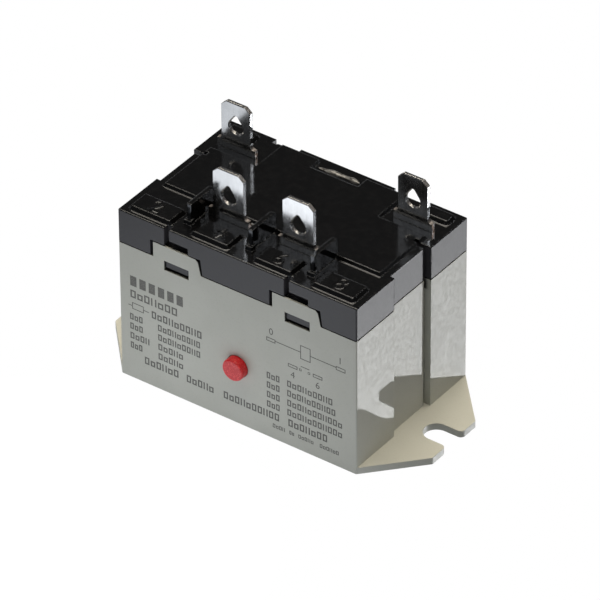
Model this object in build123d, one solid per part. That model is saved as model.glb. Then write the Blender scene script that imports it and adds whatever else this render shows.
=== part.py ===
from build123d import *
import math
import os

# Flange-mounted power relay with push-on tabs, a test button and a single-pole double-break contact.
# Frame: +X along the long side, -Y is the printed front with the button, +Z up through the tabs.
# The origin is the centre of the underside that the relay is screwed down on. Millimetres.

# ---------------------------------------------------------------- driving dimensions
BODY_LENGTH = 50.0            # case and base, along X
BODY_WIDTH = 32.5             # case and base, along Y
EAR_SPAN = 67.7               # over both mounting ears
EAR_THICKNESS = 1.35
FLOOR_THICKNESS = 1.5         # floor of the case
EAR_END_HALF = 6.4            # half width of an ear at its end
SLOT_CENTRE = 30.2            # centre of the round end of an ear's slot
SLOT_HALF = 2.4               # half width of the slot
CASE_TOP = 27.95              # joint line between case and base
BASE_TOP = 34.8               # level of the black top
ROOF_UNDER = 32.6             # underside of the black top
WALL = 1.65                   # front and rear wall of the case
END_WALL = 2.3                # end wall of the case
CORNER = 0.25                 # upright outer corners
SEAM = 0.22                   # bevel under the base's skirt, the seam against the case
SLOT_MOUTH_RADIUS = 0.9
EAR_CORNER_RADIUS = 0.5
RIB_THICKNESS = 1.0           # ribs that locate the yoke on the case floor
RIB_FROM, RIB_TO = 1.0, 11.0
RIB_PLAY = 0.05

RECESS_DEPTH = 0.9            # shallow recess in the ends
RECESS_FROM, RECESS_TO = -5.3, 4.65
GROOVE_TO = 5.5               # narrow deep groove beside the recess
CASE_GROOVE_DEPTH = 1.5
BASE_GROOVE_DEPTH = 2.4
TOP_GROOVE_DEPTH = 3.2        # the groove is deeper through the edge of the top
TOP_GROOVE_DROP = 1.4

PLUG_DEPTH = 3.1              # part of the base that sits inside the case
PLUG_WALL = 1.0
PLUG_PLAY = 0.03

TONGUE_INNER, TONGUE_OUTER = 7.5, 17.6    # latch tongues of the case, along X
TONGUE_HEIGHT = 3.05
TONGUE_THICKNESS = 0.9
TONGUE_EDGE = 0.3             # a tongue is thinner along its top
TONGUE_CUT_X, TONGUE_CUT_Z = 0.55, 0.45   # cut corner of a tongue
TONGUE_LEAN = 0.6             # slant of its right side
NOTCH_GAPS = (0.6, 0.35, 0.22)            # air left of, right of and over a tongue
NOTCH_LEAN = 0.45
LATCH_SLOT_LENGTH = 5.0       # slot over a tongue and the upright groove at its end
LATCH_SLOT_HEIGHT = 1.3
LATCH_SLOT_DEPTH = 1.3
LATCH_SLOT_LEFT = {-1: -15.2, 1: 10.0}
LATCH_GROOVE_WIDTH = 1.05
WINDOW_INNER, WINDOW_OUTER = 10.1, 15.3   # windows under the tongues
WINDOW_FROM, WINDOW_TO = 26.0, 27.95
HOOK_PLAY = 0.2
HOOK_SET_BACK = 0.25          # tip of a hook behind the case's outer face
HOOK_TIP = 1.35               # flat height of a hook's tip

PLATEAU_HEIGHT = 0.6
PLATEAU_SLOPE = 0.35
PLATEAU_HALF = 22.5
PLATEAU_FRONT, PLATEAU_REAR = -6.1, 14.8
NOTCH_X, NOTCH_Y = 12.8, 7.0              # corners left out round the coil tabs
PADS = (((2.5, 10.7), (-15.3, -10.2)), ((14.6, 23.7), (-15.3, -10.2)), ((17.6, 23.7), (12.0, 15.2)))
PAD_HEIGHT = 0.7
PAD_SLOPE = 0.5
PAD_CORNER = 0.7
RIM_BEVEL = 0.12
BARRIERS = (-12.6, 0.3, 13.2)
BARRIER_RADIUS = 0.7          # rear top corner of a barrier
BARRIER_FOOT = (0.25, 0.6, 0.8)           # wider by, further forward by, and height of its foot
BARRIER_HEIGHT = 3.9
BARRIER_THICKNESS = 0.9
BARRIER_FRONT, BARRIER_REAR = -12.5, -5.6
REAR_RELIEFS = ((-15.0, -9.8), (10.0, 17.2))   # shallow reliefs in the rear skirt, along X
REAR_RELIEF_DEPTH = 1.05
POCKET_HALF = 5.0             # pocket of the vent in the rear edge of the plateau
POCKET_FROM = 12.1
SEAL_SIZE = (8.6, 1.1, 0.4)
SEAL_Y = 13.7

TAB_THICKNESS = 0.8
TAB_FOOT = 36.4               # top of the shoulders, where the tab proper starts
TAB_ROOT_RADIUS = 0.7         # between a tab and its shoulders
TAB_CUT_X, TAB_CUT_Z = 1.2, 1.05          # cut corners of a tab
TIP_BEVEL = 0.16
HOLE_Z = 39.85                # centre of the round end of a tab's drop-shaped hole
HOLE_RADIUS, HOLE_TIP_RADIUS = 1.5, 0.35
HOLE_RISE = 1.95              # from the centre of its round end to that of its tip
HOLE_RIM = 0.14               # bevel of the hole's rim
LOAD_TAB_TOP = 45.2
LOAD_TAB_HALF, LOAD_SHOULDER_HALF = 3.2, 4.2
LOAD_TAB_X = 7.3
LOAD_FACE_Y = -8.45           # front face of the load terminals
LOAD_LEG_HALF = 4.0
LOAD_LEG_FOOT = 8.5
RIVET_RADIUS = 1.0            # shank of a fixed contact
PEEN_RADIUS, PEEN_HEIGHT = 1.6, 0.4
COIL_TAB_TOP = 44.75
COIL_TAB_HALF, COIL_SHOULDER_HALF = 3.05, 4.0
COIL_TAB_X = 18.6
COIL_FACE_Y = 9.07            # front face of the coil terminals
COIL_LUG_HALF = 2.4
COIL_LUG_FOOT = 22.0
COIL_SHOULDER_DROP = 0.4      # shoulders of the coil terminals start this far up the top's thickness

AXIS_Z = 12.1                 # height of the button, the slider and the contacts
BUTTON_RADIUS = 2.14
BUTTON_HOLE_RADIUS = 2.22
BUTTON_PROUD = 1.6
BUTTON_FLANGE_RADIUS = 3.0
BUTTON_FLANGE = 0.63
STROKE = 1.5                  # travel of the button and the slider

CONTACT_RADIUS = 2.3
CONTACT_HEAD = 0.6
CONTACT_BEVEL = 0.25
MOVING_CONTACT_RADIUS, MOVING_RIVET_RADIUS = 1.9, 0.9
CONTACT_GAP = 1.2
BRIDGE_HALF = 9.8
BRIDGE_HALF_HEIGHT = 2.0
BRIDGE_THICKNESS = 0.6
BRIDGE_CORNER = 1.2
TOUCH = 0.02                  # air between faces that only meet in use

CARRIER_HALF = 2.4
CARRIER_RAIL = 0.8
ROD_HALF = 1.4
NECK_HALF = 0.9
NECK_LENGTH_HALF = 0.7        # the neck is longer than the card is thick
HEAD_HALF = 2.2
HEAD_THICKNESS = 0.8
ROD_PLAY = 0.08
CAGE_PLAY = 0.2               # bar in the cage, up and down
CONTACT_SPRING = (1.3, 0.15, 2.5)         # radius, wire radius and turns
RETURN_SPRING = (2.25, 0.2, 4)

PARTITION_FROM, PARTITION_TO = -5.9, -4.9
PARTITION_HALF = 20.0

COIL_Y = 6.0                  # axis of the coil, which stands upright and is oblong along X
COIL_STRAIGHT = 6.55          # half length of the straight part of every oblong section
YOKE_THICKNESS = 1.6
YOKE_HALF = 10.0
YOKE_TOE = -0.2
YOKE_LEG_FRONT, YOKE_LEG_REAR = 11.7, 13.1
KNIFE_Y, KNIFE_Z = 12.4, 26.88
KNIFE_DROP = 0.2
FLANGE_THICKNESS = 1.0
BOBBIN_BOTTOM = FLOOR_THICKNESS + YOKE_THICKNESS
POLE_FACE = 26.85
POLE_HEAD = 1.05
POLE_RADIUS = 4.5             # end radii of the oblong sections, core first
CORE_RADIUS = 2.6
TAIL_RADIUS = 2.0             # round tail of the core, riveted in the yoke
BOBBIN_TUBE_RADIUS = 3.3
WINDING_RADIUS = 5.45
TAPE_RADIUS = 5.6
CHEEK_HALF = 13.2
CHEEK_FRONT, CHEEK_REAR = 0.3, 11.6
RING_SLOT = (1.0, 1.7)        # slot for the shading ring, along X
RING_DEPTH = 0.8
RING_WIDTH = 0.6
ARMATURE_THICKNESS = 1.4
ARMATURE_REAR = 12.8
ARMATURE_TILT = 5.5           # degrees open at rest
CARD_Y = -1.9                 # middle of the card when the armature is closed
CARD_THICKNESS = 1.0
CARD_HALF = 5.0
CARD_FOOT, CARD_HEAD = 8.3, 30.2
CARD_PLAY = 0.15
TONGUE_HALF = 3.0             # tongue of the armature that carries the card
TONGUE_REACH = 1.9
LEAF_THICKNESS = 0.25         # leaf that holds the armature on its edge
LEAF_HALF, LEAF_FOOT, LEAF_FINGER = 2.5, 16.0, 1.1
LEAF_AIR = 0.25
LEAD_RADIUS = 0.3
LEAD_BEND = 1.1
LEAD_REACH = 2.8
SOLDER_Z = 23.5
SOLDER_FOOT, SOLDER_TIP, SOLDER_LENGTH = 0.95, 0.4, 0.9

# ---------------------------------------------------------------- worked-out places
HALF_L, HALF_W = BODY_LENGTH / 2, BODY_WIDTH / 2
ROOM_L, ROOM_W = HALF_L - END_WALL, HALF_W - WALL
PLUG_L, PLUG_W = ROOM_L - PLUG_PLAY, ROOM_W - PLUG_PLAY
PLUG_BOTTOM = CASE_TOP - PLUG_DEPTH
FIXED_FACE_Y = LOAD_FACE_Y - CONTACT_HEAD
MOVING_FACE_Y = FIXED_FACE_Y - CONTACT_GAP
BRIDGE_REAR_Y = MOVING_FACE_Y - CONTACT_HEAD
BRIDGE_FRONT_Y = BRIDGE_REAR_Y - BRIDGE_THICKNESS
BUTTON_BACK_Y = -ROOM_W + 0.05 + BUTTON_FLANGE
CARRIER_FRONT_Y = BUTTON_BACK_Y + TOUCH
CARRIER_REAR_WALL_Y = BRIDGE_REAR_Y + TOUCH
ROD_START_Y = CARRIER_REAR_WALL_Y + CARRIER_RAIL
BOBBIN_TOP = POLE_FACE - POLE_HEAD


def block(x, y, z):
    """Box from a low and a high value on each axis."""
    size = [high - low for low, high in (x, y, z)]
    return Pos(*[(low + high) / 2 for low, high in (x, y, z)]) * Box(*size)


def upright(radius, x, y, z):
    """Cylinder along Z between two heights."""
    return Pos(x, y, (z[0] + z[1]) / 2) * Cylinder(radius, z[1] - z[0])


def along_y(radius, x, y, z):
    """Cylinder along Y between two depths."""
    middle = (y[0] + y[1]) / 2
    return Pos(x, middle, z) * Rot(90, 0, 0) * Cylinder(radius, y[1] - y[0])


def plate(points, z):
    """Flat shape in the XY plane, raised between two heights."""
    return Pos(0, 0, z[0]) * extrude(make_face(Polyline(*points, close=True)), z[1] - z[0])


def oblong(radius, z):
    """Upright oblong bar on the coil's axis."""
    section = SlotCenterToCenter(2 * COIL_STRAIGHT, 2 * radius)
    return Pos(0, COIL_Y, z[0]) * extrude(section, z[1] - z[0])


def mirrored(shape):
    """The same shape on the other side of the YZ plane."""
    return mirror(shape, about=Plane.YZ)


def both_sides(shape):
    return shape + mirrored(shape)


# ---------------------------------------------------------------- case
def body_block(low, high, groove_depth):
    """Outer block shared by case and base: rounded corners, recess and groove in both ends."""
    solid = block((-HALF_L, HALF_L), (-HALF_W, HALF_W), (low, high))
    solid = fillet(solid.edges().filter_by(Axis.Z), CORNER)
    floor = max(low, EAR_THICKNESS)
    recess = block((HALF_L - RECESS_DEPTH, HALF_L + 1), (RECESS_FROM, RECESS_TO), (floor, high + 1))
    groove = block((HALF_L - groove_depth, HALF_L + 1), (RECESS_TO, GROOVE_TO), (floor, high + 1))
    return solid - both_sides(recess + groove)


def ear():
    """One tapered mounting ear with its open slot."""
    end = EAR_SPAN / 2
    root = HALF_L - 2 * END_WALL
    outline = [(root, -HALF_W + CORNER), (HALF_L, -HALF_W + CORNER / 2), (end, -EAR_END_HALF),
               (end, EAR_END_HALF), (HALF_L, HALF_W - CORNER / 2), (root, HALF_W - CORNER)]
    solid = plate(outline, (0, EAR_THICKNESS))
    slot = block((SLOT_CENTRE, end + 1), (-SLOT_HALF, SLOT_HALF), (-1, EAR_THICKNESS + 1))
    slot += upright(SLOT_HALF, SLOT_CENTRE, 0, (-1, EAR_THICKNESS + 1))
    solid -= slot
    mouth = [e for e in solid.edges().filter_by(Axis.Z)
             if e.center().X > end - 0.1 and abs(e.center().Y) < EAR_END_HALF - 1]
    solid = fillet(mouth, SLOT_MOUTH_RADIUS)
    corners = [e for e in solid.edges().filter_by(Axis.Z)
               if e.center().X > end - 0.1 and abs(e.center().Y) > EAR_END_HALF - 0.2]
    return fillet(corners, EAR_CORNER_RADIUS)


def latch_tongue(side):
    """Tongue that stands up in a notch of the base. Its right side slants and that corner is cut off."""
    low, high = (-TONGUE_OUTER, -TONGUE_INNER) if side < 0 else (TONGUE_INNER, TONGUE_OUTER)
    top, shoulder = CASE_TOP + TONGUE_HEIGHT, high - TONGUE_LEAN
    outline = Polyline((low, CASE_TOP - 1), (low, top), (shoulder - TONGUE_CUT_X, top),
                       (shoulder, top - TONGUE_CUT_Z), (high, CASE_TOP), (high, CASE_TOP - 1), close=True)
    face = Plane.XZ * make_face(outline)
    solid = Pos(0, -HALF_W + TONGUE_THICKNESS, 0) * extrude(face, TONGUE_THICKNESS)
    rear_edge = solid.faces().sort_by(Axis.Z)[-1].edges().filter_by(Axis.X).sort_by(Axis.Y)[-1]
    return chamfer(rear_edge, TONGUE_THICKNESS - TONGUE_EDGE)


def case():
    solid = body_block(0, CASE_TOP, CASE_GROOVE_DEPTH) + both_sides(ear())
    solid -= block((-ROOM_L, ROOM_L), (-ROOM_W, ROOM_W), (FLOOR_THICKNESS, CASE_TOP + 1))
    front = latch_tongue(-1) + latch_tongue(1)
    solid += front + mirror(front, about=Plane.XZ)
    window = block((WINDOW_INNER, WINDOW_OUTER), (-HALF_W - 1, HALF_W + 1), (WINDOW_FROM, WINDOW_TO))
    solid -= both_sides(window)
    solid -= along_y(BUTTON_HOLE_RADIUS, 0, (-HALF_W - 1, -ROOM_W + 0.5), AXIS_Z)
    rib_x = YOKE_HALF + RIB_PLAY
    rib_z = (FLOOR_THICKNESS / 2, BOBBIN_BOTTOM - RIB_PLAY)
    rib = block((rib_x, rib_x + RIB_THICKNESS), (RIB_FROM, RIB_TO), rib_z)
    return solid + both_sides(rib)


# ---------------------------------------------------------------- base
def raised(face, height, slope):
    """Low raised shape on the top, with sloping sides."""
    return Pos(0, 0, BASE_TOP) * extrude(face, height, taper=math.degrees(math.atan2(slope, height)))


def plateau():
    """Raised middle of the top, with sloped edges and the rear corners left out."""
    outline = [(-PLATEAU_HALF, PLATEAU_FRONT), (PLATEAU_HALF, PLATEAU_FRONT), (PLATEAU_HALF, NOTCH_Y),
               (NOTCH_X, NOTCH_Y), (NOTCH_X, PLATEAU_REAR), (-NOTCH_X, PLATEAU_REAR),
               (-NOTCH_X, NOTCH_Y), (-PLATEAU_HALF, NOTCH_Y)]
    foot = offset(make_face(Polyline(*outline, close=True)), PLATEAU_SLOPE, kind=Kind.INTERSECTION)
    return raised(foot, PLATEAU_HEIGHT, PLATEAU_SLOPE)


def number_pads():
    """Six low pads that carry the terminal numbers."""
    pads = []
    for x, y in PADS:
        middle = Pos((x[0] + x[1]) / 2, (y[0] + y[1]) / 2)
        outline = middle * RectangleRounded(x[1] - x[0], y[1] - y[0], PAD_CORNER)
        pads.append(raised(outline, PAD_HEIGHT, PAD_SLOPE))
    pads = Compound(children=pads)
    return pads.solids() + mirrored(pads).solids()


def barrier(x):
    """Upright rib between two tabs, rounded at its rear top corner, with a small foot in front."""
    top = BASE_TOP + BARRIER_HEIGHT
    wider, forward, height = BARRIER_FOOT
    profile = block((x - BARRIER_THICKNESS / 2, x + BARRIER_THICKNESS / 2),
                    (BARRIER_FRONT, BARRIER_REAR), (BASE_TOP, top))
    rear = profile.edges().filter_by(Axis.X).sort_by(lambda e: e.center().Y + e.center().Z)[-1]
    solid = fillet(rear, BARRIER_RADIUS)
    foot_half = BARRIER_THICKNESS / 2 + wider
    return solid + block((x - foot_half, x + foot_half), (BARRIER_FRONT - forward, BARRIER_FRONT + forward),
                         (BASE_TOP, BASE_TOP + height))


def latch_cuts(side):
    """Notch for a tongue in the front skirt, the slot over it and the narrow upright groove."""
    low, high = (-TONGUE_OUTER, -TONGUE_INNER) if side < 0 else (TONGUE_INNER, TONGUE_OUTER)
    left_gap, right_gap, top_gap = NOTCH_GAPS
    notch_top = CASE_TOP + TONGUE_HEIGHT + top_gap
    front = -HALF_W - 1
    outline = Polyline((low - left_gap, CASE_TOP - 0.5), (low - left_gap, notch_top),
                       (high + right_gap - NOTCH_LEAN, notch_top), (high + right_gap, CASE_TOP),
                       (high + right_gap, CASE_TOP - 0.5), close=True)
    back = -HALF_W + TONGUE_THICKNESS + 0.1
    cuts = Pos(0, back, 0) * extrude(Plane.XZ * make_face(outline), back - front)
    slot_low = LATCH_SLOT_LEFT[side]
    depth = (front, -HALF_W + LATCH_SLOT_DEPTH)
    slot_z = (notch_top - 0.5, notch_top + LATCH_SLOT_HEIGHT)
    cuts += block((slot_low, slot_low + LATCH_SLOT_LENGTH), depth, slot_z)
    cuts += block((slot_low, slot_low + LATCH_GROOVE_WIDTH), depth, (slot_z[0], BASE_TOP + 1))
    return cuts


def latch_hook(side):
    """Wedge on the plug that snaps into the case's window."""
    low, high = (-WINDOW_OUTER, -WINDOW_INNER) if side < 0 else (WINDOW_INNER, WINDOW_OUTER)
    bottom, top = WINDOW_FROM + HOOK_PLAY, WINDOW_TO - HOOK_PLAY / 4
    root, tip = -PLUG_W + HOOK_PLAY, -HALF_W + HOOK_SET_BACK
    outline = Polyline((root, bottom), (-PLUG_W - HOOK_PLAY, bottom), (tip, top - HOOK_TIP),
                       (tip, top), (root, top), close=True)
    face = Plane.YZ * make_face(outline)
    return Pos(low + HOOK_PLAY, 0, 0) * extrude(face, high - low - 2 * HOOK_PLAY)


def base(terminals):
    solid = body_block(CASE_TOP, BASE_TOP, BASE_GROOVE_DEPTH)
    rim = [e for e in solid.faces().sort_by(Axis.Z)[-1].edges() if abs(e.center().Y) > HALF_W - 0.1]
    solid = chamfer(rim, RIM_BEVEL)
    solid = chamfer(solid.faces().sort_by(Axis.Z)[0].edges(), SEAM)
    solid += block((-PLUG_L, PLUG_L), (-PLUG_W, PLUG_W), (PLUG_BOTTOM, CASE_TOP))
    inner_l, inner_w = PLUG_L - PLUG_WALL, PLUG_W - PLUG_WALL
    solid -= block((-inner_l, inner_l), (-inner_w, inner_w), (PLUG_BOTTOM - 1, ROOF_UNDER))
    cuts = latch_cuts(-1) + latch_cuts(1)
    solid -= cuts + mirror(cuts, about=Plane.XZ)
    relief_z = (CASE_TOP + TONGUE_HEIGHT, BASE_TOP + 1)
    for span in REAR_RELIEFS:
        solid -= block(span, (HALF_W - REAR_RELIEF_DEPTH, HALF_W + 1), relief_z)
    hooks = latch_hook(-1) + latch_hook(1)
    solid += hooks + mirror(hooks, about=Plane.XZ)
    solid += plateau()
    solid += number_pads()
    for x in BARRIERS:
        solid += barrier(x)
    deep_groove = block((HALF_L - TOP_GROOVE_DEPTH, HALF_L + 1), (RECESS_TO, GROOVE_TO),
                        (BASE_TOP - TOP_GROOVE_DROP, BASE_TOP + 1))
    solid -= both_sides(deep_groove)
    solid -= block((-POCKET_HALF, POCKET_HALF), (POCKET_FROM, HALF_W + 1), (BASE_TOP, BASE_TOP + 1))
    for terminal in terminals:
        solid -= terminal
    return solid


def vent_seal():
    """Bead of sealing resin in the pocket at the rear of the top."""
    length, width, height = SEAL_SIZE
    drop = Pos(0, SEAL_Y, BASE_TOP + height / 2) * Box(length, width, height)
    drop = fillet(drop.edges().filter_by(Axis.Z), width * 0.46)
    return fillet(drop.faces().sort_by(Axis.Z)[-1].edges(), height * 0.75)


# ---------------------------------------------------------------- terminals
def drop_hole(x, y):
    """Drop-shaped hole through a tab: two circles and the flanks that touch both."""
    flank = math.asin((HOLE_RADIUS - HOLE_TIP_RADIUS) / HOLE_RISE)
    touch = [(radius * math.cos(flank), rise + radius * math.sin(flank))
             for radius, rise in ((HOLE_RADIUS, 0), (HOLE_TIP_RADIUS, HOLE_RISE))]
    flanks = make_face(Polyline(*touch, *[(-a, b) for a, b in reversed(touch)], close=True))
    outline = Circle(HOLE_RADIUS) + Pos(0, HOLE_RISE) * Circle(HOLE_TIP_RADIUS) + flanks
    return Pos(x, y[1], HOLE_Z) * extrude(Plane.XZ * outline, y[1] - y[0])


def tab(x, face_y, half, top):
    """Push-on tab with cut corners, a bevelled tip and a detent hole."""
    foot, cut_z = TAB_FOOT - 0.1, top - TAB_CUT_Z
    outline = Polyline((x - half, foot), (x - half, cut_z), (x - half + TAB_CUT_X, top),
                       (x + half - TAB_CUT_X, top), (x + half, cut_z), (x + half, foot), close=True)
    face = Plane.XZ * make_face(outline)
    solid = Pos(0, face_y + TAB_THICKNESS, 0) * extrude(face, TAB_THICKNESS)
    solid = chamfer(solid.faces().sort_by(Axis.Z)[-1].edges().filter_by(Axis.X), TIP_BEVEL)
    solid -= drop_hole(x, (face_y - 1, face_y + 2))
    broad = solid.faces().sort_by(Axis.Y)
    rims = [e for side in (broad[0], broad[-1]) for wire in side.inner_wires() for e in wire.edges()]
    return chamfer(rims, HOLE_RIM)


def rooted(solid, x, half):
    """Rounds the inner corners between a tab and its shoulders."""
    roots = [e for e in solid.edges().filter_by(Axis.Y)
             if abs(e.center().Z - TAB_FOOT) < 0.01 and abs(abs(e.center().X - x) - half) < 0.01]
    return fillet(roots, TAB_ROOT_RADIUS)


def load_terminal(side):
    """Tab, shoulder and long leg that carries a fixed contact."""
    x = side * LOAD_TAB_X
    depth = (LOAD_FACE_Y, LOAD_FACE_Y + TAB_THICKNESS)
    solid = tab(x, LOAD_FACE_Y, LOAD_TAB_HALF, LOAD_TAB_TOP)
    solid += block((x - LOAD_SHOULDER_HALF, x + LOAD_SHOULDER_HALF), depth, (ROOF_UNDER, TAB_FOOT))
    solid = rooted(solid, x, LOAD_TAB_HALF)
    solid += block((x - LOAD_LEG_HALF, x + LOAD_LEG_HALF), depth, (LOAD_LEG_FOOT, ROOF_UNDER))
    return solid - along_y(RIVET_RADIUS, x, (LOAD_FACE_Y - 1, LOAD_FACE_Y + 2), AXIS_Z)


def coil_terminal(side):
    """Tab, shoulder and short solder lug."""
    x = side * COIL_TAB_X
    depth = (COIL_FACE_Y, COIL_FACE_Y + TAB_THICKNESS)
    solid = tab(x, COIL_FACE_Y, COIL_TAB_HALF, COIL_TAB_TOP)
    shoulder = ROOF_UNDER + COIL_SHOULDER_DROP
    solid += block((x - COIL_SHOULDER_HALF, x + COIL_SHOULDER_HALF), depth, (shoulder, TAB_FOOT))
    solid = rooted(solid, x, COIL_TAB_HALF)
    return solid + block((x - COIL_LUG_HALF, x + COIL_LUG_HALF), depth, (COIL_LUG_FOOT, shoulder))


def fixed_contact(side):
    """Silver rivet: domed head towards the bar, tail peened behind the leg."""
    x = side * LOAD_TAB_X
    rear = LOAD_FACE_Y + TAB_THICKNESS
    head = along_y(CONTACT_RADIUS, x, (FIXED_FACE_Y, LOAD_FACE_Y), AXIS_Z)
    head = chamfer(head.faces().sort_by(Axis.Y)[0].edges(), CONTACT_BEVEL)
    shank = along_y(RIVET_RADIUS, x, (LOAD_FACE_Y, rear), AXIS_Z)
    return head + shank + along_y(PEEN_RADIUS, x, (rear, rear + PEEN_HEIGHT), AXIS_Z)


# ---------------------------------------------------------------- button and slider
def test_button():
    shaft = along_y(BUTTON_RADIUS, 0, (-HALF_W - BUTTON_PROUD, BUTTON_BACK_Y), AXIS_Z)
    shaft = fillet(shaft.faces().sort_by(Axis.Y)[0].edges(), 0.35)
    return shaft + along_y(BUTTON_FLANGE_RADIUS, 0, (BUTTON_BACK_Y - BUTTON_FLANGE, BUTTON_BACK_Y), AXIS_Z)


def squared(half, y):
    """Square bar on the slider's axis."""
    return block((-half, half), y, (AXIS_Z - half, AXIS_Z + half))


def contact_carrier():
    """Cage for the contact bar, a rod through the partition and a neck for the card."""
    window_half = BRIDGE_HALF_HEIGHT + CAGE_PLAY
    outer_half = window_half + CARRIER_RAIL
    cage = block((-CARRIER_HALF, CARRIER_HALF), (CARRIER_FRONT_Y, ROD_START_Y),
                 (AXIS_Z - outer_half, AXIS_Z + outer_half))
    window_y = (CARRIER_FRONT_Y + CARRIER_RAIL, CARRIER_REAR_WALL_Y)
    cage -= block((-CARRIER_HALF - 1, CARRIER_HALF + 1), window_y,
                  (AXIS_Z - window_half, AXIS_Z + window_half))
    neck_front = CARD_Y - STROKE - NECK_LENGTH_HALF
    neck_rear = neck_front + 2 * NECK_LENGTH_HALF
    rod = squared(ROD_HALF, (ROD_START_Y, neck_front))
    neck = squared(NECK_HALF, (neck_front, neck_rear))
    head = block((-HEAD_HALF, HEAD_HALF), (neck_rear, neck_rear + HEAD_THICKNESS),
                 (AXIS_Z - ROD_HALF, AXIS_Z + ROD_HALF))
    return cage + rod + neck + head


def contact_bridge():
    bar = block((-BRIDGE_HALF, BRIDGE_HALF), (BRIDGE_FRONT_Y, BRIDGE_REAR_Y),
                (AXIS_Z - BRIDGE_HALF_HEIGHT, AXIS_Z + BRIDGE_HALF_HEIGHT))
    bar = fillet(bar.edges().filter_by(Axis.Y), BRIDGE_CORNER)
    through = (BRIDGE_FRONT_Y - 1, BRIDGE_REAR_Y + 1)
    for side in (-1, 1):
        bar -= along_y(MOVING_RIVET_RADIUS, side * LOAD_TAB_X, through, AXIS_Z)
    return bar


def bridge_contacts():
    rivets = []
    for side in (-1, 1):
        x = side * LOAD_TAB_X
        head = along_y(MOVING_CONTACT_RADIUS, x, (BRIDGE_REAR_Y, MOVING_FACE_Y), AXIS_Z)
        head = chamfer(head.faces().sort_by(Axis.Y)[-1].edges(), CONTACT_BEVEL)
        rivets.append(head + along_y(MOVING_RIVET_RADIUS, x, (BRIDGE_FRONT_Y, BRIDGE_REAR_Y), AXIS_Z))
    return Compound(children=rivets)


def spring(radius, wire, turns, y):
    """Coil spring along Y on the slider's axis."""
    length = y[1] - y[0] - 2 * wire
    helix = Helix(pitch=length / turns, height=length, radius=radius)
    profile = Plane(origin=helix @ 0, z_dir=helix % 0) * Circle(wire)
    solid = sweep(profile, path=helix, is_frenet=True)
    return Pos(0, y[0] + wire, AXIS_Z) * Rot(-90, 0, 0) * solid


# ---------------------------------------------------------------- coil and magnet
def yoke():
    foot = block((-YOKE_HALF, YOKE_HALF), (YOKE_TOE, YOKE_LEG_REAR), (FLOOR_THICKNESS, BOBBIN_BOTTOM))
    leg_z = (BOBBIN_BOTTOM - 1, KNIFE_Z - TOUCH)
    leg = block((-YOKE_HALF, YOKE_HALF), (YOKE_LEG_FRONT, YOKE_LEG_REAR), leg_z)
    knife = leg.faces().sort_by(Axis.Z)[-1].edges().sort_by(Axis.Y)[-1]
    leg = chamfer(knife, length=KNIFE_DROP, length2=YOKE_LEG_REAR - KNIFE_Y,
                  reference=leg.faces().sort_by(Axis.Y)[-1])
    return foot + leg - upright(TAIL_RADIUS, 0, COIL_Y, (0, BOBBIN_BOTTOM + 1))


def ring_slot(z):
    return block(RING_SLOT, (COIL_Y - CHEEK_HALF, COIL_Y + CHEEK_HALF), z)


def shading_ring():
    """Copper ring round part of the pole face, with one side in the slot."""
    z = (POLE_FACE - RING_DEPTH, POLE_FACE - RING_DEPTH + RING_WIDTH)
    band = oblong(POLE_RADIUS + RING_WIDTH, z)
    left = block((-2 * CHEEK_HALF, RING_SLOT[0]), (COIL_Y - CHEEK_HALF, COIL_Y + CHEEK_HALF), z)
    return band - oblong(POLE_RADIUS, z) - left + (band & ring_slot(z))


def core():
    solid = oblong(CORE_RADIUS, (BOBBIN_BOTTOM, BOBBIN_TOP))
    solid += upright(TAIL_RADIUS, 0, COIL_Y, (FLOOR_THICKNESS, BOBBIN_BOTTOM))
    solid += oblong(POLE_RADIUS, (BOBBIN_TOP, POLE_FACE))
    return solid - ring_slot((POLE_FACE - RING_DEPTH, POLE_FACE + 1))


def bobbin():
    tube = oblong(BOBBIN_TUBE_RADIUS, (BOBBIN_BOTTOM, BOBBIN_TOP))
    for low in (BOBBIN_BOTTOM, BOBBIN_TOP - FLANGE_THICKNESS):
        cheek = block((-CHEEK_HALF, CHEEK_HALF), (CHEEK_FRONT, CHEEK_REAR), (low, low + FLANGE_THICKNESS))
        tube += fillet(cheek.edges().filter_by(Axis.Z), 1.5)
    return tube - oblong(CORE_RADIUS, (0, BOBBIN_TOP + 1))


def coil_sleeve(inner, outer, margin):
    """Ring of winding or tape between the bobbin's cheeks."""
    z = (BOBBIN_BOTTOM + FLANGE_THICKNESS + margin, BOBBIN_TOP - FLANGE_THICKNESS - margin)
    return oblong(outer, z) - oblong(inner, z)


def opened(shape):
    """Turns a shape from the closed to the open position of the armature."""
    return shape.rotate(Axis((0, KNIFE_Y, KNIFE_Z), (1, 0, 0)), -ARMATURE_TILT)


def armature_bottom():
    return KNIFE_Z + TOUCH


def armature():
    z = (armature_bottom(), armature_bottom() + ARMATURE_THICKNESS)
    card_rear = CARD_Y + CARD_THICKNESS / 2
    solid = block((-YOKE_HALF, YOKE_HALF), (card_rear, ARMATURE_REAR), z)
    solid = fillet(solid.edges().filter_by(Axis.Z), 0.8)
    solid += block((-TONGUE_HALF, TONGUE_HALF), (card_rear - TONGUE_REACH, card_rear + 1), z)
    return opened(solid)


def actuator_card():
    y = (CARD_Y - CARD_THICKNESS / 2, CARD_Y + CARD_THICKNESS / 2)
    solid = block((-CARD_HALF, CARD_HALF), y, (CARD_FOOT, CARD_HEAD))
    solid = fillet(solid.edges().filter_by(Axis.Y), 1.0)
    z = (armature_bottom(), armature_bottom() + ARMATURE_THICKNESS)
    solid -= block((-TONGUE_HALF, TONGUE_HALF), (y[0] - 1, y[1] + 1), z)
    rise = (KNIFE_Y - CARD_Y) * math.sin(math.radians(ARMATURE_TILT))
    half = NECK_HALF + CARD_PLAY
    solid -= block((-half, half), (y[0] - 1, y[1] + 1), (AXIS_Z - half - rise, AXIS_Z + half))
    return opened(solid)


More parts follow.
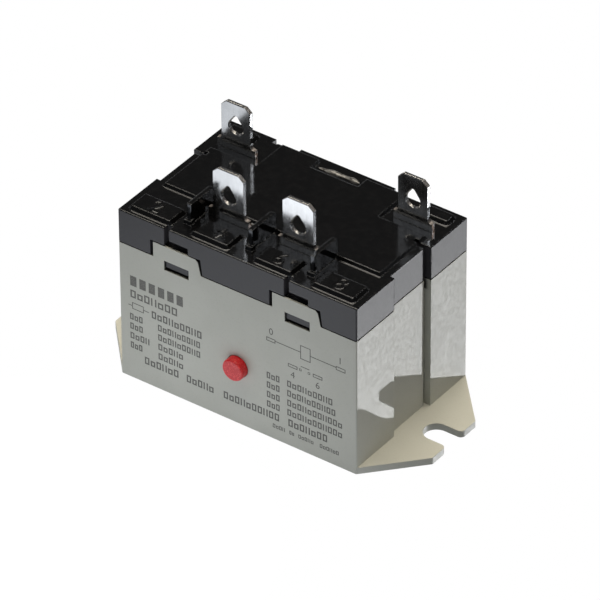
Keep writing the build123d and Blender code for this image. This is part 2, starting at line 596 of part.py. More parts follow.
def hinge_spring():
    """Leaf on the rear of the yoke with a finger over the armature."""
    y = (YOKE_LEG_REAR, YOKE_LEG_REAR + LEAF_THICKNESS)
    finger_z = armature_bottom() + ARMATURE_THICKNESS + LEAF_AIR
    finger_top = finger_z + LEAF_THICKNESS
    solid = block((-LEAF_HALF, LEAF_HALF), y, (LEAF_FOOT, finger_top))
    return solid + block((-LEAF_HALF, LEAF_HALF), (YOKE_LEG_REAR - LEAF_FINGER, y[1]), (finger_z, finger_top))


def partition():
    wall = block((-PARTITION_HALF, PARTITION_HALF), (PARTITION_FROM, PARTITION_TO),
                 (FLOOR_THICKNESS, ROOF_UNDER))
    hole = ROD_HALF + ROD_PLAY
    return wall - squared(hole, (PARTITION_FROM - 1, PARTITION_TO + 1))


def coil_lead(side):
    """Insulated wire from the bobbin's cheek to the solder lug."""
    z = BOBBIN_TOP - FLANGE_THICKNESS / 2
    points = [(CHEEK_HALF, COIL_Y, z), (CHEEK_HALF + LEAD_REACH, COIL_Y, z),
              (COIL_TAB_X, COIL_Y + 0.4, SOLDER_Z), (COIL_TAB_X, COIL_FACE_Y, SOLDER_Z)]
    path = FilletPolyline(*[(side * x, y, z) for x, y, z in points], radius=LEAD_BEND)
    profile = Plane(origin=path @ 0, z_dir=path % 0) * Circle(LEAD_RADIUS)
    return sweep(profile, path=path)


def solder_joints(leads):
    cones = []
    for side in (-1, 1):
        place = Pos(side * COIL_TAB_X, COIL_FACE_Y - SOLDER_LENGTH / 2, SOLDER_Z)
        cone = place * Rot(90, 0, 0) * Cone(SOLDER_FOOT, SOLDER_TIP, SOLDER_LENGTH)
        for lead in leads:
            cone -= lead
        cones.append(cone)
    return Compound(children=cones)


# ---------------------------------------------------------------- all parts
def all_parts():
    terminals = {"contact_terminal_4": load_terminal(-1), "contact_terminal_6": load_terminal(1),
                 "coil_terminal_0": coil_terminal(-1), "coil_terminal_1": coil_terminal(1)}
    leads = {"coil_lead_0": coil_lead(-1), "coil_lead_1": coil_lead(1)}
    parts = {"case": case(), "base": base(terminals.values()), "vent_seal": vent_seal()}
    parts.update(terminals)
    parts.update(leads)
    parts["solder_joints"] = solder_joints(leads.values())
    parts["fixed_contact_4"] = fixed_contact(-1)
    parts["fixed_contact_6"] = fixed_contact(1)
    parts["test_button"] = test_button()
    parts["contact_carrier"] = contact_carrier()
    parts["contact_bridge"] = contact_bridge()
    parts["bridge_contacts"] = bridge_contacts()
    parts["contact_spring"] = spring(*CONTACT_SPRING, (CARRIER_FRONT_Y + CARRIER_RAIL, BRIDGE_FRONT_Y))
    parts["return_spring"] = spring(*RETURN_SPRING, (ROD_START_Y, PARTITION_FROM))
    parts["partition"] = partition()
    parts["yoke"] = yoke()
    parts["core"] = core()
    parts["shading_ring"] = shading_ring()
    parts["bobbin"] = bobbin()
    parts["coil_winding"] = coil_sleeve(BOBBIN_TUBE_RADIUS, WINDING_RADIUS, 0)
    parts["coil_tape"] = coil_sleeve(WINDING_RADIUS, TAPE_RADIUS, 0.5)
    parts["armature"] = armature()
    parts["actuator_card"] = actuator_card()
    parts["hinge_spring"] = hinge_spring()
    return parts


os.makedirs("parts", exist_ok=True)
for name, shape in all_parts().items():
    export_step(shape, f"parts/{name}.step")
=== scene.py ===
import math

import bmesh
import bpy
from mathutils import Matrix, Vector


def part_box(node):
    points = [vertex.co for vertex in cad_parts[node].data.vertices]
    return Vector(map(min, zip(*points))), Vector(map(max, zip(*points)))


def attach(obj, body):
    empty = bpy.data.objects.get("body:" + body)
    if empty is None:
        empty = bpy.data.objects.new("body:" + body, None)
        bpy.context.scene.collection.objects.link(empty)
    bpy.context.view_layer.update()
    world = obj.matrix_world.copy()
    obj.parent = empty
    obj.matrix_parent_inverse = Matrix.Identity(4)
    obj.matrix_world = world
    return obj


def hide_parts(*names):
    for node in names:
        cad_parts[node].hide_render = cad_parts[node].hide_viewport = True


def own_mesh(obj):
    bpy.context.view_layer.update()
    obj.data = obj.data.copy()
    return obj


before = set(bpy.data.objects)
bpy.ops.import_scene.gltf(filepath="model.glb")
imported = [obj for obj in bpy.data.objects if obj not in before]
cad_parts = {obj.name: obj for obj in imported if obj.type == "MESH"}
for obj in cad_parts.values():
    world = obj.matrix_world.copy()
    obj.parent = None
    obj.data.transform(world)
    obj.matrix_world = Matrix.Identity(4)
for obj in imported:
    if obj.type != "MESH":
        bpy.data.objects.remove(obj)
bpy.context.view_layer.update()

MM = 0.001                    # everything below is in millimetres until it becomes a mesh

# ---------------------------------------------------------------- view and light
CAMERA_AZIMUTH, CAMERA_ELEVATION, CAMERA_ROLL = 36.14, 36.24, -0.38      # degrees
CAMERA_DISTANCE = 1207.9
CAMERA_TARGET = (0.67, 1.08, 16.09)
CAMERA_LENS, CAMERA_SENSOR = 421.7, 36.0
FLOOR_HALF = 4000.0
FLOOR_Z = -0.02               # just under the case, which stands on it
GLOW_CENTRE, GLOW_RADIUS = (-12.0, -65.0), 103.0      # the floor is a light table with a bright spot
GLOW_PEAK, GLOW_REST = 1.66, 0.08
GLOW_COLOUR = (0.97, 1.0, 1.04)
AMBIENT, HORIZON = 0.06, 0.8  # strength of the surroundings, high up and near the horizon
HORIZON_BAND = (0.03, 0.15)   # heights of direction over which one fades to the other
# Each light: azimuth (0 in front, 90 on the right), elevation, distance, size, watts and colour.
LIGHTS = {
    "under_light": (143.4, -37.6, 1000, 12, 3.3, (0.97, 0.98, 1.0)),
    "back_light": (144, 36.5, 1100, 40, 0.14, (1.0, 1.0, 1.0)),
    "front_light": (-33.5, 37.5, 1100, 120, 0.045, (1.0, 1.0, 1.0)),
    "overhead_light": (200, 80, 1100, 1050, 22.0, (1.0, 0.90, 0.75)),
}

# ---------------------------------------------------------------- places on the relay
FRONT_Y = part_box("case")[0].y / MM
SEAL_LOW, SEAL_HIGH = (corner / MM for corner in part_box("vent_seal"))
TOP_Z = 34.8                  # level of the black top
PAD_TOP_Z = TOP_Z + 0.7       # the number pads stand proud of it
SEAM_ZONE_Z = 25.5            # above this, narrow gaps in the case get painted shade
SHOULDER_TOP_Z = 36.4         # below this, the sides of the tabs are bare brass
ROOT_TOP_Z = 37.3             # below this, upward faces at the foot of a tab get painted shade and are rougher


# ---------------------------------------------------------------- shader building blocks
class Shader:
    """A Principled material and short ways to add nodes that work in object space."""

    def __init__(self, name, colour, roughness, metallic=0.0, **sockets):
        self.material = bpy.data.materials.new(name)
        self.material.use_nodes = True
        self.tree = self.material.node_tree
        self.surface = self.tree.nodes["Principled BSDF"]
        self.place = self.tree.nodes.new("ShaderNodeTexCoord")
        self.set("Base Color", (*colour, 1.0))
        self.set("Roughness", roughness)
        self.set("Metallic", metallic)
        for socket, value in sockets.items():
            self.set(socket.replace("_", " "), value)

    def set(self, socket, value):
        """Sets a socket to a constant, or links it to another node's output."""
        if isinstance(value, bpy.types.NodeSocket):
            self.tree.links.new(value, self.surface.inputs[socket])
        else:
            self.surface.inputs[socket].default_value = value

    def feed(self, node, socket, value):
        if isinstance(value, bpy.types.NodeSocket):
            self.tree.links.new(value, node.inputs[socket])
        else:
            node.inputs[socket].default_value = value

    def noise(self, grain, detail=3.0, stretch=(1, 1, 1)):
        """Noise whose features are about `grain` millimetres wide, longer along the stretched axes."""
        mapping = self.tree.nodes.new("ShaderNodeMapping")
        mapping.inputs["Scale"].default_value = [1 / (grain * MM * s) for s in stretch]
        self.tree.links.new(self.place.outputs["Object"], mapping.inputs["Vector"])
        node = self.tree.nodes.new("ShaderNodeTexNoise")
        node.inputs["Scale"].default_value = 1.0
        node.inputs["Detail"].default_value = detail
        self.tree.links.new(mapping.outputs["Vector"], node.inputs["Vector"])
        return node.outputs["Fac"]

    def spread(self, value, low, high, start=0.3, end=0.7):
        """Maps a value smoothly onto a range."""
        node = self.tree.nodes.new("ShaderNodeMapRange")
        node.interpolation_type = "SMOOTHSTEP"
        for socket, number in (("From Min", start), ("From Max", end), ("To Min", low), ("To Max", high)):
            node.inputs[socket].default_value = number
        self.feed(node, "Value", value)
        return node.outputs["Result"]

    def math(self, operation, a, b):
        node = self.tree.nodes.new("ShaderNodeMath")
        node.operation = operation
        self.feed(node, 0, a)
        self.feed(node, 1, b)
        return node.outputs["Value"]

    def mix(self, factor, a, b):
        """Blends two colours, each a triple or an output."""
        node = self.tree.nodes.new("ShaderNodeMix")
        node.data_type = "RGBA"
        self.feed(node, 0, factor)
        for socket, colour in ((6, a), (7, b)):
            self.feed(node, socket, colour if isinstance(colour, bpy.types.NodeSocket) else (*colour, 1.0))
        return node.outputs[2]

    def axis(self, source, axis):
        """One axis of the object's coordinates, in metres, or of its normal."""
        node = self.tree.nodes.new("ShaderNodeSeparateXYZ")
        self.tree.links.new(self.place.outputs[source], node.inputs[0])
        return node.outputs[axis]

    def crevice(self, reach, low=0.3, high=0.65):
        """1 in narrow gaps, 0 on open faces. The reach is in millimetres."""
        node = self.tree.nodes.new("ShaderNodeAmbientOcclusion")
        node.samples = 8
        node.inputs["Distance"].default_value = reach * MM
        return self.spread(node.outputs["AO"], 1, 0, low, high)

    def bump(self, height, depth, edge=None):
        """Relief of a depth in millimetres, on edges rounded to a radius in millimetres."""
        node = self.tree.nodes.new("ShaderNodeBump")
        node.inputs["Strength"].default_value = 1.0
        node.inputs["Distance"].default_value = depth * MM
        self.feed(node, "Height", height)
        if edge:
            self.tree.links.new(self.rounded(edge), node.inputs["Normal"])
        self.set("Normal", node.outputs["Normal"])

    def rounded(self, edge):
        node = self.tree.nodes.new("ShaderNodeBevel")
        node.samples = 6
        node.inputs["Radius"].default_value = edge * MM
        return node.outputs["Normal"]


# ---------------------------------------------------------------- materials of the outside
def case_plastic():
    """Grey-green thermoplastic with the fine grain of an eroded mould."""
    shader = Shader("case_plastic_grained", (0.47, 0.48, 0.43), 0.5)
    cloud = shader.noise(9.0)
    speck = shader.noise(0.35, detail=1.0)
    tone = shader.mix(shader.spread(cloud, 0, 1), (0.455, 0.465, 0.42), (0.485, 0.495, 0.45))
    tone = shader.mix(shader.spread(speck, 0, 0.16, 0.55, 0.75), tone, (0.34, 0.35, 0.30))
    # Painted shade: narrow gaps in the upper part of the case, found by ambient occlusion, are darkened to
    # near black.
    seam_zone = shader.spread(shader.axis("Object", "Z"), 0, 1, SEAM_ZONE_Z * MM, (SEAM_ZONE_Z + 0.5) * MM)
    painted_gap_shade = shader.math("MULTIPLY", shader.crevice(1.2, 0.4, 0.85), seam_zone)
    tone = shader.mix(painted_gap_shade, tone, (0.01, 0.01, 0.01))
    shader.set("Base Color", tone)
    shader.set("Roughness", shader.spread(shader.noise(0.8), 0.47, 0.53))
    shader.bump(shader.noise(0.16, detail=2.0), 0.006, edge=0.12)
    return shader.material


def base_plastic():
    """Black plastic, polished on top and grained on the skirt below it."""
    shader = Shader("base_plastic_black", (0.004, 0.004, 0.0045), 0.1, IOR=1.6)
    up = shader.spread(shader.axis("Normal", "Z"), 0, 1, 0.3, 0.6)
    high = shader.spread(shader.axis("Object", "Z"), 0, 1, (TOP_Z - 0.3) * MM, (TOP_Z - 0.05) * MM)
    polished = shader.math("MAXIMUM", up, high)
    shader.set("Base Color", shader.mix(polished, (0.026, 0.026, 0.031), (0.002, 0.002, 0.0022)))
    shader.set("IOR", shader.spread(polished, 1.5, 1.6, 0, 1))
    sideways = shader.spread(shader.math("ABSOLUTE", shader.axis("Normal", "X"), 0.0), 0, 1, 0.7, 0.9)
    dimmed_reflection = shader.math("MULTIPLY", sideways, high)
    shader.set("Specular IOR Level", shader.spread(dimmed_reflection, 0.5, 0.12, 0, 1))
    shader.set("Specular Tint", shader.mix(polished, (1.0, 1.0, 1.0), (0.92, 0.97, 1.05)))
    grained = shader.math("SUBTRACT", 1.0, polished)
    on_top = shader.math("MULTIPLY", shader.spread(shader.noise(1.2), 0.09, 0.16), polished)
    on_skirt = shader.math("MULTIPLY", shader.spread(shader.noise(0.4), 0.50, 0.53), grained)
    shader.set("Roughness", shader.math("ADD", on_top, on_skirt))
    shader.bump(shader.math("MULTIPLY", shader.noise(0.14, detail=2.0), grained), 0.006, edge=0.28)
    return shader.material


def tin_plate():
    """Bright tin over brass: faint rolling marks, bare brass where the strip was cut, and painted shade that
    dims the highlights on the corners and at the foot of each tab, which are also rougher.
    """
    shader = Shader("tin_plate_bright", (0.72, 0.73, 0.74), 0.15, metallic=1.0)
    height, upward = shader.axis("Object", "Z"), shader.axis("Normal", "Z")
    sideways = shader.math("ABSOLUTE", shader.axis("Normal", "X"), 0.0)
    below_shoulder = shader.spread(height, 1, 0, (SHOULDER_TOP_Z - 0.1) * MM, (SHOULDER_TOP_Z + 0.1) * MM)
    cut = shader.math("MULTIPLY", shader.spread(sideways, 0, 1, 0.7, 0.9), below_shoulder)
    bare = shader.math("MULTIPLY", cut, shader.spread(shader.noise(0.4), 0.1, 0.9))
    # Painted shade: upward faces at the foot of each tab and the cut corners at its top get a dark colour
    # that dims their highlights; they are also made rougher.
    near_root = shader.spread(height, 1, 0, ROOT_TOP_Z * MM, (ROOT_TOP_Z + 0.2) * MM)
    root = shader.math("MULTIPLY", shader.spread(upward, 0, 1, 0.05, 0.3), near_root)
    corner = shader.math("MULTIPLY", shader.spread(upward, 0, 0.8, 0.3, 0.5),
                         shader.spread(sideways, 0, 1, 0.3, 0.5))
    dimmed_reflection = shader.math("MAXIMUM", root, corner)
    tin = shader.mix(shader.spread(shader.noise(2.0), 0, 1), (0.60, 0.61, 0.62), (0.66, 0.67, 0.68))
    metal = shader.mix(bare, tin, (0.40, 0.23, 0.13))
    shader.set("Base Color", shader.mix(dimmed_reflection, metal, (0.16, 0.15, 0.15)))
    streaks = shader.noise(0.12, detail=2.0, stretch=(1, 1, 30))
    roughness = shader.spread(streaks, 0.13, 0.2)
    shader.set("Roughness", shader.math("ADD", roughness, shader.math("MULTIPLY", dimmed_reflection, 0.3)))
    shader.bump(streaks, 0.0008, edge=0.07)
    return shader.material


def button_plastic():
    """Red plastic with a sparkling grain."""
    shader = Shader("button_red", (0.5, 0.02, 0.02), 0.4)
    speck = shader.noise(0.28, detail=2.0)
    tone = shader.mix(shader.spread(speck, 0, 1, 0.45, 0.75), (0.56, 0.004, 0.010), (0.78, 0.06, 0.06))
    shader.set("Base Color", tone)
    shader.set("Roughness", shader.spread(shader.noise(0.5), 0.32, 0.48))
    shader.bump(speck, 0.03, edge=0.1)
    return shader.material


def seal_resin():
    """Clear grey potting resin."""
    shader = Shader("seal_resin_clear", (0.08, 0.08, 0.08), 0.12)
    shader.set("Base Color", shader.mix(shader.spread(shader.noise(0.8), 0, 1), (0.02, 0.02, 0.02),
                                        (0.17, 0.175, 0.18)))
    shader.bump(shader.noise(0.7, detail=1.0), 0.03)
    return shader.material


def print_ink():
    """Dark grey pad-printing ink that lets the plastic show through in places."""
    shader = Shader("print_ink_grey", (0.12, 0.12, 0.11), 0.55)
    thin = shader.spread(shader.noise(0.22, detail=2.0), 0, 0.7, 0.5, 0.75)
    shader.set("Base Color", shader.mix(thin, (0.105, 0.105, 0.095), (0.26, 0.265, 0.24)))
    shader.set("Roughness", shader.spread(shader.noise(0.4), 0.48, 0.62))
    return shader.material


# ---------------------------------------------------------------- materials of the inside
def plain_plastic(name, colour, roughness, grain=0.5, depth=0.01, subsurface=0.0):
    """Moulded plastic with a cloudy tone and a fine grain."""
    shader = Shader(name, colour, roughness, Subsurface_Weight=subsurface)
    darker = [channel * 0.82 for channel in colour]
    shader.set("Base Color", shader.mix(shader.spread(shader.noise(4.0), 0, 1), darker, colour))
    shader.set("Roughness", shader.spread(shader.noise(grain * 2), roughness * 0.85, min(1, roughness * 1.2)))
    shader.bump(shader.noise(grain), depth, edge=0.08)
    return shader.material


def plain_metal(name, colour, roughness, tarnish, stretch=(1, 1, 1), edge=0.06):
    """Bare or plated metal with cloudy tarnish and marks along the way it was drawn."""
    shader = Shader(name, colour, roughness, metallic=1.0)
    shader.set("Base Color", shader.mix(shader.spread(shader.noise(1.5), 0, 1), colour, tarnish))
    marks = shader.noise(0.15, detail=2.0, stretch=stretch)
    shader.set("Roughness", shader.spread(marks, roughness * 0.75, roughness * 1.3))
    shader.bump(marks, 0.003, edge=edge)
    return shader.material


def winding_wire():
    """Enamelled copper wire. Ridges round the coil stand for its turns, coarser than they are."""
    shader = Shader("winding_wire_copper", (0.45, 0.13, 0.04), 0.25, metallic=0.8, Coat_Weight=0.6)
    ridges = shader.tree.nodes.new("ShaderNodeTexWave")
    ridges.bands_direction = "Z"
    radian, rate = 0.15, 20       # millimetres to a radian of the ridges; a wave texture's radians per unit
    ridges.inputs["Scale"].default_value = 1 / (radian * rate * MM)
    ridges.inputs["Distortion"].default_value = 0.4
    shader.tree.links.new(shader.place.outputs["Object"], ridges.inputs["Vector"])
    # Painted shade and highlight: the colour follows the ridges, darker in the grooves between turns and
    # lighter on their crests.
    shader.set("Base Color", shader.mix(ridges.outputs["Fac"], (0.16, 0.04, 0.015), (0.55, 0.17, 0.05)))
    shader.bump(ridges.outputs["Fac"], 0.05)
    return shader.material


def coil_tape():
    """Amber polyester tape, glossy, with the wire's colour coming through."""
    shader = Shader("coil_tape_amber", (0.62, 0.36, 0.05), 0.22, Coat_Weight=0.4)
    shader.set("Base Color", shader.mix(shader.spread(shader.noise(0.8, stretch=(1, 1, 6)), 0, 1),
                                        (0.52, 0.27, 0.03), (0.70, 0.43, 0.08)))
    shader.bump(shader.noise(1.2, stretch=(1, 1, 4)), 0.03)
    return shader.material


def dress_nodes():
    """Gives every CAD node its procedural material."""
    tin, silver = tin_plate(), plain_metal("contact_silver", (0.78, 0.77, 0.74), 0.3, (0.62, 0.58, 0.52))
    steel = plain_metal("magnet_zinc", (0.62, 0.63, 0.64), 0.34, (0.52, 0.51, 0.47))
    spring = plain_metal("spring_steel_drawn", (0.50, 0.50, 0.51), 0.28, (0.42, 0.41, 0.40))
    copper = plain_metal("ring_copper_bare", (0.72, 0.33, 0.17), 0.3, (0.50, 0.22, 0.12))
    natural = plain_plastic("slider_natural", (0.74, 0.72, 0.64), 0.42, subsurface=0.1)
    materials = {
        "case": case_plastic(), "base": base_plastic(), "test_button": button_plastic(),
        "vent_seal": seal_resin(),
        "contact_terminal_4": tin, "contact_terminal_6": tin, "coil_terminal_0": tin, "coil_terminal_1": tin,
        "fixed_contact_4": silver, "fixed_contact_6": silver, "bridge_contacts": silver,
        "contact_bridge": plain_metal("bridge_copper_rolled", (0.70, 0.40, 0.22), 0.3, (0.56, 0.30, 0.17),
                                      stretch=(30, 1, 1)),
        "contact_carrier": natural, "actuator_card": natural,
        "partition": plain_plastic("partition_black", (0.03, 0.03, 0.032), 0.5),
        "bobbin": plain_plastic("bobbin_glass_filled", (0.70, 0.66, 0.54), 0.48, grain=0.3, depth=0.02),
        "coil_winding": winding_wire(), "coil_tape": coil_tape(),
        "yoke": steel, "core": steel, "armature": steel,
        "contact_spring": spring, "return_spring": spring, "hinge_spring": spring,
        "shading_ring": copper,
        "solder_joints": plain_metal("solder_soft", (0.66, 0.66, 0.68), 0.4, (0.52, 0.52, 0.54)),
    }
    sleeve = plain_plastic("lead_sleeve_white", (0.78, 0.77, 0.72), 0.45)
    materials["coil_lead_0"] = materials["coil_lead_1"] = sleeve
    for name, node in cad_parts.items():
        for place in node.material_slots:
            place.material = materials[name]
    return materials


# ---------------------------------------------------------------- pieces that the CAD leaves out
def piece(name, mesh, material):
    """Puts a mesh in the scene as a piece that rides on the housing."""
    mesh.materials.clear()
    mesh.materials.append(material)
    thing = bpy.data.objects.new(name, mesh)
    bpy.context.scene.collection.objects.link(thing)
    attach(thing, "housing")
    return thing


def finished(bm, name):
    """Turns a bmesh in millimetres into a mesh in metres."""
    bmesh.ops.remove_doubles(bm, verts=bm.verts, dist=0.0005)
    bmesh.ops.recalc_face_normals(bm, faces=bm.faces)
    bmesh.ops.scale(bm, vec=(MM, MM, MM), verts=bm.verts)
    mesh = bpy.data.meshes.new(name)
    bm.to_mesh(mesh)
    bm.free()
    return mesh


def add_slab(bm, x, y, z):
    """Box from a low and a high value on each axis."""
    size = [high - low for low, high in (x, y, z)]
    middle = Vector([(low + high) / 2 for low, high in (x, y, z)])
    bmesh.ops.create_cube(bm, size=1.0, matrix=Matrix.Translation(middle) @ Matrix.Diagonal((*size, 1)))


def add_digit(bm, digit, height, place, thickness, bevel=0.0):
    """A solid figure, its size and place in millimetres."""
    curve = bpy.data.curves.new("figure", "FONT")
    curve.body, curve.align_x, curve.align_y = digit, "CENTER", "CENTER"
    figure_share = 0.71       # of the font's size that a figure is tall
    curve.size = height / figure_share
    curve.extrude, curve.bevel_depth = thickness / 2 - bevel, bevel
    curve.resolution_u = 4
    holder = bpy.data.objects.new("figure", curve)
    mesh = bpy.data.meshes.new_from_object(holder)
    mesh.transform(place)
    bm.from_mesh(mesh)
    bpy.data.meshes.remove(mesh)
    bpy.data.objects.remove(holder)
    bpy.data.curves.remove(curve)


# Layout of the print on the front, in millimetres along X and Z. Boxes and bars stand for the lines of words.
INK_THICKNESS = 0.02
LOGO_SPAN, LOGO_BLOCKS, LOGO_BLOCK = (-22.7, -10.8), 6, 1.35      # a plain row of blocks, each 1.35 wide
LOGO_HEIGHTS = (19.7, 21.8)
ROW_TOP, ROW_PITCH, ROW_HEIGHT = 13.75, 2.03, 1.3
LEFT_ROWS = ((-22.9, -20.0), (-22.9, -20.0), (-22.9, -18.6), (-22.9, -20.2))
MIDDLE_ROWS = ((-16.9, -7.7), (-16.9, -7.7), (-16.9, -11.4), (-16.9, -11.4))
RATING_ROWS = ((10.5, 20.2), (10.5, 20.8), (10.5, 22.2), (10.5, 22.2))
AMPERE_ROWS = ((6.2, 9.1),) * 4
LONG_LINE = ((-19.9, -12.4), (-10.9, -4.9), (-3.0, 9.0), (10.7, 19.1))
SMALL_LINE = ((7.4, 10.1), (10.9, 12.0), (12.8, 16.1), (17.3, 21.4))
NUMBER_X = {"2": -19.2, "4": -6.3, "6": 6.7, "8": 19.3}           # raised numbers, one on each front pad
NUMBER_Y, NUMBER_HEIGHT, NUMBER_RELIEF, NUMBER_BEVEL = -12.85, 3.3, 0.3, 0.11


def ink(bm, x, z):
    add_slab(bm, x, (FRONT_Y - INK_THICKNESS / 2, FRONT_Y + INK_THICKNESS / 2), z)


def ink_outline(bm, x, z, stroke=0.16):
    """Outline of a rectangle."""
    ink(bm, x, (z[0], z[0] + stroke))
    ink(bm, x, (z[1] - stroke, z[1]))
    ink(bm, (x[0], x[0] + stroke), (z[0] + stroke, z[1] - stroke))
    ink(bm, (x[1] - stroke, x[1]), (z[0] + stroke, z[1] - stroke))


def ink_words(bm, x, top, height, pitch=0.82, fill=0.78):
    """A line of boxes and bars in place of letters: each stands for one letter's width."""
    count = max(1, round((x[1] - x[0]) / (pitch * height)))
    step = (x[1] - x[0]) / count
    stroke = 0.19 * height
    for i in range(count):
        left, right = x[0] + i * step, x[0] + (i + fill) * step
        lowered = 0.22 * height if i % 3 == 1 else 0.0
        if i % 4 == 3:
            for bar in (left, right - stroke):
                ink(bm, (bar, bar + stroke), (top - height, top))
        else:
            ink_outline(bm, (left, right), (top - height, top - lowered), stroke)


def ink_digit(bm, digit, x, z, height=1.35):
    upright = Matrix.Translation((x, FRONT_Y, z)) @ Matrix.Rotation(math.pi / 2, 4, "X")
    add_digit(bm, digit, height, upright, INK_THICKNESS)


def ink_wiring(bm):
    """Wiring symbol: a coil between two terminals, and under it a normally open contact pair."""
    line_z, line = 20.9, 0.16
    ink_digit(bm, "0", 7.2, 22.5)
    ink_digit(bm, "1", 21.6, 22.5)
    ink_outline(bm, (6.2, 8.1), (20.4, 21.2))
    ink_outline(bm, (20.7, 22.7), (20.4, 21.2))
    ink_outline(bm, (13.3, 15.45), (19.5, 22.4))
    for span in ((8.1, 13.3), (15.45, 20.7)):
        ink(bm, span, (line_z - line / 2, line_z + line / 2))
    for span, digit in (((10.7, 12.7), "4"), ((15.9, 17.9), "6")):
        ink_outline(bm, span, (16.8, 17.5))
        ink_digit(bm, digit, sum(span) / 2, 15.3)
    for x in (13.3, 15.1):
        ink_outline(bm, (x - 0.25, x + 0.25), (16.9, 17.4), stroke=0.12)
    ink(bm, (13.4, 15.2), (17.85, 17.85 + line))


def ink_coil(bm):
    """Small coil symbol ahead of a line of words: a box on a wire."""
    for span in ((-23.2, -22.4), (-19.9, -18.8)):
        ink(bm, span, (15.37, 15.53))
    ink_outline(bm, (-22.4, -19.9), (14.8, 16.2))


def case_print():
    """All the print on the front of the case, as one thin relief."""
    bm = bmesh.new()
    for i in range(LOGO_BLOCKS):
        left = LOGO_SPAN[0] + i * (LOGO_SPAN[1] - LOGO_SPAN[0]) / LOGO_BLOCKS
        ink(bm, (left, left + LOGO_BLOCK), LOGO_HEIGHTS)
    ink_words(bm, (-22.7, -12.4), 18.8, 1.6, pitch=0.9)
    ink_coil(bm)
    ink_words(bm, (-18.2, -7.3), 16.1, 1.5)
    for rows in (LEFT_ROWS, MIDDLE_ROWS, AMPERE_ROWS, RATING_ROWS):
        for i, span in enumerate(rows):
            ink_words(bm, span, ROW_TOP - i * ROW_PITCH, ROW_HEIGHT)
    for span in LONG_LINE:
        ink_words(bm, span, 5.6, 1.5)
    for span in SMALL_LINE:
        ink_words(bm, span, 3.2, 0.8)
    ink_wiring(bm)
    return finished(bm, "case_print")


def pad_number(digit):
    """Raised figure on one of the front pads."""
    bm = bmesh.new()
    place = Matrix.Translation((NUMBER_X[digit], NUMBER_Y, PAD_TOP_Z))
    add_digit(bm, digit, NUMBER_HEIGHT, place, NUMBER_RELIEF, bevel=NUMBER_BEVEL)
    return finished(bm, "pad_number_" + digit)


def bead_section(bm, share, around=14):
    """Vertices of one arch across the bead, at a share of its length from -1 to 1."""
    middle, half = (SEAL_LOW + SEAL_HIGH) / 2, (SEAL_HIGH - SEAL_LOW) / 2
    taper = math.sqrt(max(0.0, 1 - share ** 4)) + 0.02
    lump = 0.72 + 0.28 * math.cos(2 * math.pi * (share + 0.28)) + 0.06 * math.sin(11 * share)
    width = half.y * taper * (0.55 + 0.45 * lump)
    height = (SEAL_HIGH.z - SEAL_LOW.z) * taper * lump
    drift = 0.18 * math.sin(2.4 * share + 0.6)
    ring = []
    for j in range(around):
        turn = math.pi * j / (around - 1)
        ring.append(bm.verts.new((middle.x + share * half.x, middle.y + drift - width * math.cos(turn),
                                  SEAL_LOW.z + height * math.sin(turn))))
    return ring


def resin_bead(sections=40):
    """Bead of resin that sagged into two lumps as it set."""
    bm = bmesh.new()
    rings = [bead_section(bm, -1 + 2 * i / sections) for i in range(sections + 1)]
    for one, other in zip(rings, rings[1:]):
        for j, k in zip(range(len(one)), [*range(1, len(one)), 0]):
            bm.faces.new((one[j], one[k], other[k], other[j]))
    bm.faces.new(rings[0])
    bm.faces.new(reversed(rings[-1]))
    for face in bm.faces:
        face.smooth = True
    return finished(bm, "resin_bead")


def shortening_spring(node, body):
    """Copy of a coil spring, with a mesh of its own, that rides on the given body in place of the CAD's
    spring, which is hidden.

    The CAD's own spring is rigid, and what presses on it would cut through it.
    """
    spring = bpy.data.objects.new(node + "_coil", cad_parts[node].data.copy())
    bpy.context.scene.collection.objects.link(spring)
    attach(spring, body)
    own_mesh(spring)
    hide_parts(node)


# ---------------------------------------------------------------- stage
def outward(azimuth, elevation):
    """Unit vector away from the relay. Angles are in radians; azimuth 0 is in front, 90 degrees is right."""
    return Vector((math.sin(azimuth) * math.cos(elevation), -math.cos(azimuth) * math.cos(elevation),
                   math.sin(elevation)))


def make_camera():
    azimuth, elevation, roll = map(math.radians, (CAMERA_AZIMUTH, CAMERA_ELEVATION, CAMERA_ROLL))
    back = outward(azimuth, elevation)
    level = (-back).cross(Vector((0, 0, 1))).normalized()
    raised = level.cross(-back)
    right = level * math.cos(roll) + raised * math.sin(roll)
    up = raised * math.cos(roll) - level * math.sin(roll)
    data = bpy.data.cameras.new("camera")
    data.sensor_width = CAMERA_SENSOR
    data.lens = CAMERA_LENS
    data.clip_start, data.clip_end = 0.05, 20.0
    camera = bpy.data.objects.new("camera", data)
    bpy.context.scene.collection.objects.link(camera)
    turn = Matrix((right, up, back)).transposed().to_4x4()
    camera.matrix_world = Matrix.Translation((Vector(CAMERA_TARGET) + back * CAMERA_DISTANCE) * MM) @ turn
    bpy.context.scene.camera = camera


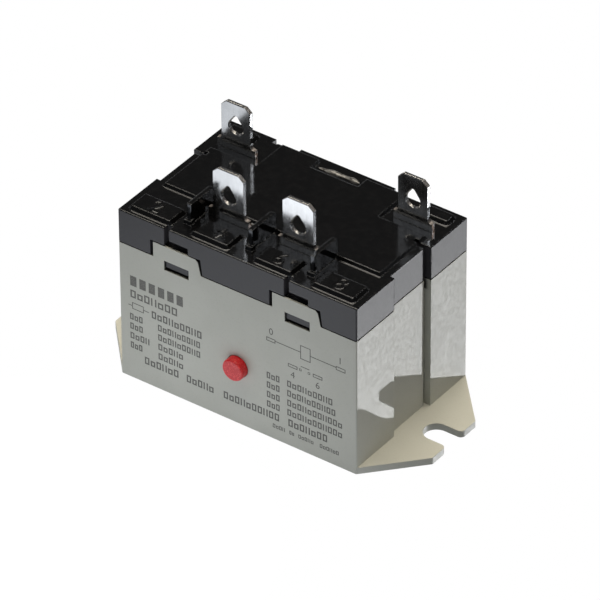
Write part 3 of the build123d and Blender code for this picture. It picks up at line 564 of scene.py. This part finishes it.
def make_floor():
    """White light table. Light from under it goes through, and so does a look from under it."""
    bm = bmesh.new()
    bm.faces.new([bm.verts.new((x * FLOOR_HALF, y * FLOOR_HALF, FLOOR_Z))
                  for x, y in ((-1, -1), (1, -1), (1, 1), (-1, 1))])
    mesh = finished(bm, "floor")
    shader = Shader("floor_white", (0, 0, 0), 1.0, Specular_IOR_Level=0.0)
    away = shader.tree.nodes.new("ShaderNodeVectorMath")
    away.operation = "DISTANCE"
    away.inputs[1].default_value = (GLOW_CENTRE[0] * MM, GLOW_CENTRE[1] * MM, 0)
    shader.tree.links.new(shader.place.outputs["Object"], away.inputs[0])
    glow = shader.spread(away.outputs["Value"], GLOW_PEAK, GLOW_REST, 0, GLOW_RADIUS * MM)
    seen = shader.tree.nodes.new("ShaderNodeLightPath").outputs["Is Camera Ray"]
    shader.set("Emission Color", shader.mix(seen, GLOW_COLOUR, (1.0, 1.0, 1.0)))
    shader.set("Emission Strength", shader.math("MAXIMUM", glow, seen))
    side = shader.tree.nodes.new("ShaderNodeNewGeometry")
    shader.set("Alpha", shader.math("SUBTRACT", 1.0, side.outputs["Backfacing"]))
    mesh.materials.append(shader.material)
    floor = bpy.data.objects.new("floor", mesh)
    bpy.context.scene.collection.objects.link(floor)
    floor.visible_shadow = False


def make_light(name, azimuth, elevation, distance, size, power, colour):
    """Square soft light that faces the relay."""
    data = bpy.data.lights.new(name, "AREA")
    data.size, data.energy, data.color = size * MM, power, colour
    back = outward(math.radians(azimuth), math.radians(elevation))
    light = bpy.data.objects.new(name, data)
    bpy.context.scene.collection.objects.link(light)
    light.rotation_mode = "QUATERNION"
    light.rotation_quaternion = back.to_track_quat("Z", "Y")
    light.location = back * distance * MM


def make_world():
    """White behind everything; for what lights the relay, dim above and brighter near the horizon."""
    world = bpy.data.worlds.new("studio")
    world.use_nodes = True
    tree = world.node_tree
    dim = tree.nodes["Background"]
    place = tree.nodes.new("ShaderNodeTexCoord")
    height = tree.nodes.new("ShaderNodeSeparateXYZ")
    tree.links.new(place.outputs["Generated"], height.inputs[0])
    fade = tree.nodes.new("ShaderNodeMapRange")
    fade.interpolation_type = "SMOOTHSTEP"
    for socket, number in (("From Min", HORIZON_BAND[0]), ("From Max", HORIZON_BAND[1]),
                           ("To Min", HORIZON), ("To Max", AMBIENT)):
        fade.inputs[socket].default_value = number
    tree.links.new(height.outputs["Z"], fade.inputs["Value"])
    tree.links.new(fade.outputs["Result"], dim.inputs["Strength"])
    dim.inputs["Color"].default_value = (1, 1, 1, 1)
    bright = tree.nodes.new("ShaderNodeBackground")
    bright.inputs["Color"].default_value = (1, 1, 1, 1)
    path = tree.nodes.new("ShaderNodeLightPath")
    blend = tree.nodes.new("ShaderNodeMixShader")
    tree.links.new(path.outputs["Is Camera Ray"], blend.inputs[0])
    tree.links.new(dim.outputs[0], blend.inputs[1])
    tree.links.new(bright.outputs[0], blend.inputs[2])
    tree.links.new(blend.outputs[0], tree.nodes["World Output"].inputs["Surface"])
    bpy.context.scene.world = world


# ---------------------------------------------------------------- scene
make_camera()
bpy.context.scene.view_settings.view_transform = "Standard"
make_world()
make_floor()
for name, settings in LIGHTS.items():
    make_light(name, *settings)
materials = dress_nodes()
piece("case_print", case_print(), print_ink())
for digit in "2468":
    piece("pad_number_" + digit, pad_number(digit), materials["base"])
bead = piece("resin_bead", resin_bead(), materials["vent_seal"])
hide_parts("vent_seal")
shortening_spring("return_spring", "housing")
shortening_spring("contact_spring", "carrier")
